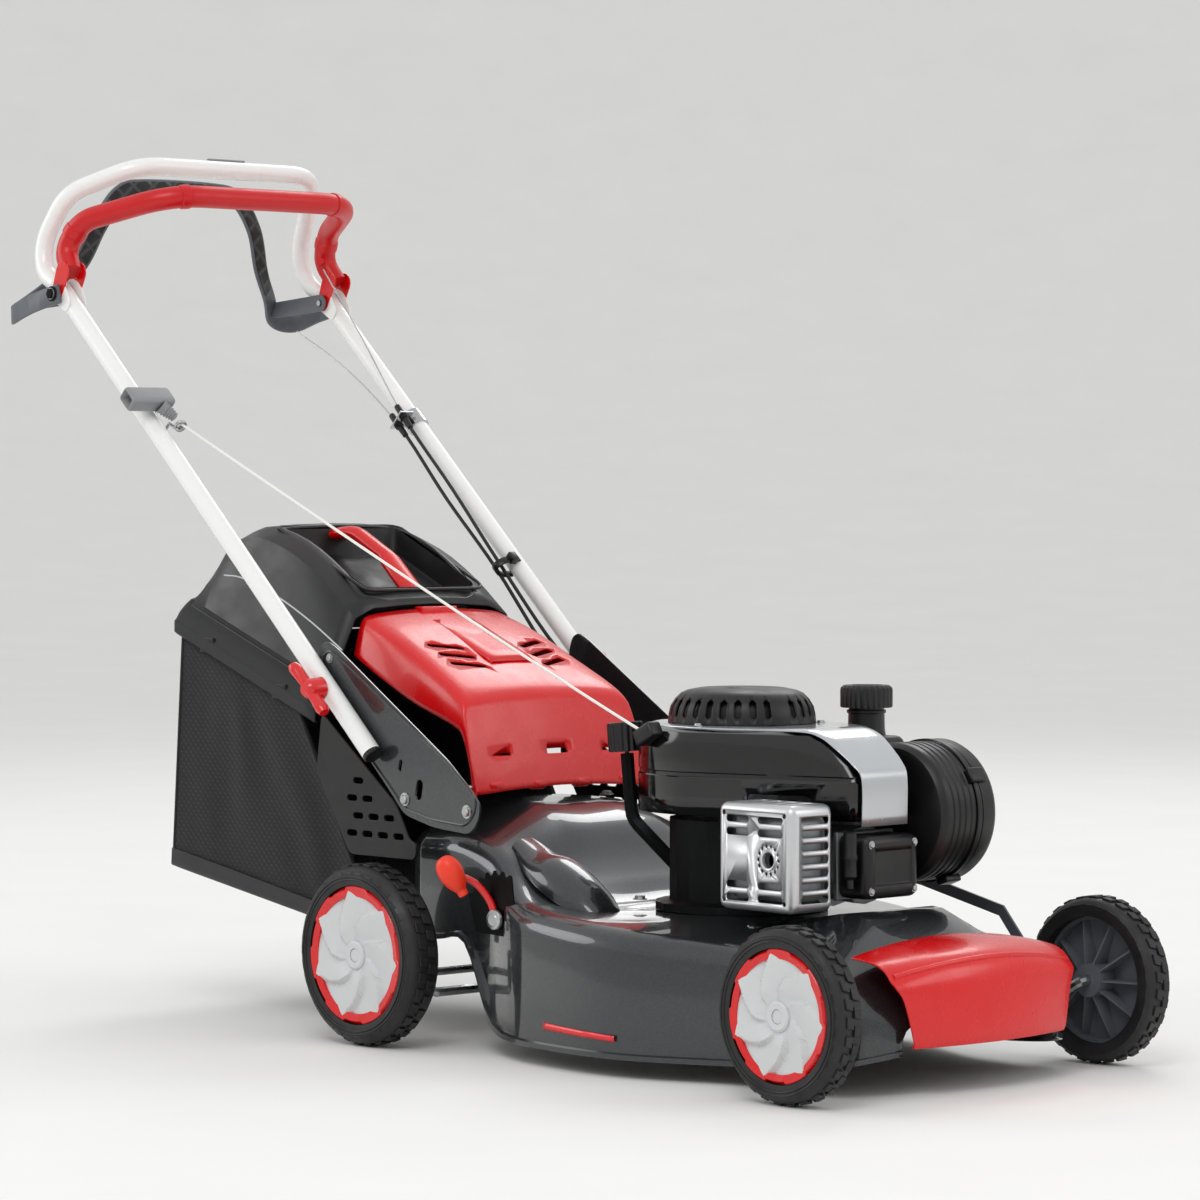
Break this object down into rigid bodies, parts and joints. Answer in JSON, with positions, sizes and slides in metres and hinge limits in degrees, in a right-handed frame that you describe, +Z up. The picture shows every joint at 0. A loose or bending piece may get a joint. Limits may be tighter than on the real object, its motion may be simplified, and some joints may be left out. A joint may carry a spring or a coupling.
{
  "type": "push lawn mower",
  "caption": "Walk-behind rotary lawn mower with steel deck, petrol engine, folding tubular handle with brake and drive levers, rear grass bag and wheels of adjustable height.",
  "frame": {"origin": "on the ground below the rear axle, within 9 mm of the middle of the overall length, on the middle plane between the wheels", "axes": "+X the way the mower travels, +Y the operator's left, +Z up"},
  "size_m": [1.6197, 0.5908, 1.1305],
  "materials": {
    "dark_metallic_paint": "glossy",
    "red_plastic": "glossy",
    "white_paint": "satin",
    "black_plastic": "satin",
    "grey_plastic": "matte",
    "silver_plastic": "satin",
    "steel": "satin",
    "aluminium_casting": "cast",
    "tyre_rubber": "matte",
    "wheel_grey": "satin",
    "bag_fabric": "woven",
    "rope_white": "matte"
  },
  "bodies": {
    "chassis": {"deck_shell": "dark_metallic_paint", "bumper_cover": "red_plastic", "handle_bracket_right": "dark_metallic_paint", "handle_bracket_left": "dark_metallic_paint", "side_guard_right": "black_plastic", "side_guard_left": "black_plastic", "flap_hinge_rod": "steel", "drive_belt": "tyre_rubber", "gearbox": "aluminium_casting", "crankcase": "aluminium_casting", "cylinder": "aluminium_casting", "valve_cover": "black_plastic", "piston": "aluminium_casting", "engine_shroud": "black_plastic", "shroud_trim": "silver_plastic", "recoil_cover": "black_plastic", "fuel_tank": "black_plastic", "air_filter_body": "black_plastic", "air_filter_cover": "black_plastic", "muffler": "steel", "muffler_guard": "steel", "spark_plug": "black_plastic", "starter_rope": "rope_white", "bail_cable": "black_plastic", "drive_cable": "black_plastic"},
    "flap": {"rear_flap": "red_plastic"},
    "rear_crank": {"rear_height_crank": "steel"},
    "front_crank": {"front_height_crank": "steel"},
    "link": {"height_link_bar": "grey_plastic"},
    "lever": {"height_lever": "red_plastic"},
    "axle_drive": {"drive_shaft": "steel"},
    "input_pulley": {"gearbox_pulley": "steel"},
    "cutter": {"crankshaft": "steel", "flywheel": "aluminium_casting", "blade": "steel", "blade_bolt": "steel", "blade_carrier": "steel"},
    "cap": {"fuel_cap": "black_plastic"},
    "oil_stick": {"dipstick": "black_plastic"},
    "handle": {"handlebar": "white_paint", "pivot_bolt_right": "steel", "pivot_bolt_left": "steel", "cable_bracket": "steel"},
    "bail": {"brake_bail": "red_plastic"},
    "drive_handle": {"drive_lever": "grey_plastic"},
    "knob_right": {"fold_knob_right": "red_plastic"},
    "knob_left": {"fold_knob_left": "red_plastic"},
    "pull_grip": {"starter_grip": "grey_plastic"},
    "bag": {"bag_fabric": "bag_fabric", "bag_lid": "black_plastic", "bag_grip": "red_plastic", "bag_base": "black_plastic"},
    "front_wheel_right": {"tyre_front_right": "tyre_rubber", "wheel_front_right": "wheel_grey"},
    "front_wheel_left": {"tyre_front_left": "tyre_rubber", "wheel_front_left": "wheel_grey"},
    "rear_wheel_right": {"tyre_rear_right": "tyre_rubber", "wheel_rear_right": "wheel_grey"},
    "rear_wheel_left": {"tyre_rear_left": "tyre_rubber", "wheel_rear_left": "wheel_grey"}
  },
  "joints": [
    {"name": "front_wheel_right_spin", "type": "hinge", "parent": "front_crank", "child": "front_wheel_right", "pos_m": [0.718, -0.262, 0.1], "axis": [0, 1, 0], "continuous": true},
    {"name": "front_wheel_left_spin", "type": "hinge", "parent": "front_crank", "child": "front_wheel_left", "pos_m": [0.718, 0.262, 0.1], "axis": [0, 1, 0], "continuous": true},
    {"name": "rear_wheel_right_spin", "type": "hinge", "parent": "rear_crank", "child": "rear_wheel_right", "pos_m": [0, -0.26965, 0.112], "axis": [0, 1, 0], "continuous": true},
    {"name": "rear_wheel_left_spin", "type": "hinge", "parent": "rear_crank", "child": "rear_wheel_left", "pos_m": [0, 0.26965, 0.112], "axis": [0, 1, 0], "continuous": true},
    {"name": "height_lever_swing", "type": "hinge", "parent": "chassis", "child": "lever", "pos_m": [0.186, -0.23, 0.165], "axis": [0, 1, 0], "range_deg": [0, 40]},
    {"name": "rear_crank_swing", "type": "hinge", "parent": "chassis", "child": "rear_crank", "pos_m": [0.04157, 0, 0.088], "axis": [0, -1, 0], "range_deg": [0, 60]},
    {"name": "front_crank_swing", "type": "hinge", "parent": "chassis", "child": "front_crank", "pos_m": [0.67643, 0, 0.076], "axis": [0, 1, 0], "range_deg": [0, 60]},
    {"name": "link_travel", "type": "slide", "parent": "chassis", "child": "link", "axis": [1, 0, 0], "range_m": [0, 0.04]},
    {"name": "blade_spin", "type": "hinge", "parent": "chassis", "child": "cutter", "pos_m": [0.378, 0, 0.05], "axis": [0, 0, 1], "continuous": true},
    {"name": "input_pulley_spin", "type": "hinge", "parent": "chassis", "child": "input_pulley", "pos_m": [0.04157, 0, 0.145], "axis": [0, 0, 1], "continuous": true},
    {"name": "axle_drive_spin", "type": "hinge", "parent": "chassis", "child": "axle_drive", "pos_m": [0.04157, 0, 0.088], "axis": [0, 1, 0], "continuous": true},
    {"name": "rear_flap_lift", "type": "hinge", "parent": "chassis", "child": "flap", "pos_m": [0.05, 0, 0.314], "axis": [0, 1, 0], "range_deg": [0, 50], "stiffness_Nm_per_rad": 0.5},
    {"name": "handle_fold", "type": "hinge", "parent": "chassis", "child": "handle", "pos_m": [-0.12716, 0, 0.43329], "axis": [0, 1, 0], "range_deg": [0, 115]},
    {"name": "bail_squeeze", "type": "hinge", "parent": "handle", "child": "bail", "pos_m": [-0.68173, 0, 0.94413], "axis": [0, -1, 0], "range_deg": [0, 17], "stiffness_Nm_per_rad": 2},
    {"name": "drive_squeeze", "type": "hinge", "parent": "handle", "child": "drive_handle", "pos_m": [-0.68173, 0, 0.94413], "axis": [0, 1, 0], "range_deg": [0, 20], "stiffness_Nm_per_rad": 1, "springref_deg": -11.46},
    {"name": "fold_knob_right_turn", "type": "hinge", "parent": "handle", "child": "knob_right", "pos_m": [-0.12716, -0.2556, 0.43329], "axis": [0, -1, 0], "range_deg": [0, 720]},
    {"name": "fold_knob_left_turn", "type": "hinge", "parent": "handle", "child": "knob_left", "pos_m": [-0.12716, 0.2556, 0.43329], "axis": [0, 1, 0], "range_deg": [0, 720]},
    {"name": "starter_pull", "type": "slide", "parent": "handle", "child": "pull_grip", "axis": [-0.5493, -0.3495, 0.759], "range_m": [0, 0.9], "stiffness_N_per_m": 15, "springref_m": -0.3},
    {"name": "fuel_cap_turn", "type": "hinge", "parent": "chassis", "child": "cap", "pos_m": [0.44, 0.152, 0.43], "axis": [0, 0, 1], "range_deg": [0, 120]},
    {"name": "dipstick_lift", "type": "slide", "parent": "chassis", "child": "oil_stick", "axis": [-0.0694, -0.0379, 0.9969], "range_m": [0, 0.14]},
    {"name": "bag_removal", "type": "slide", "parent": "chassis", "child": "bag", "axis": [-1, 0, 0], "range_m": [0, 0.35]}
  ],
  "couplings": [
    {"joint": "rear_crank_swing", "follows": "height_lever_swing", "ratio": 1.5},
    {"joint": "front_crank_swing", "follows": "height_lever_swing", "ratio": 1.5},
    {"joint": "link_travel", "follows": "height_lever_swing", "m_per_rad": 0.05729},
    {"joint": "input_pulley_spin", "follows": "blade_spin", "ratio": 0.5659}
  ]
}
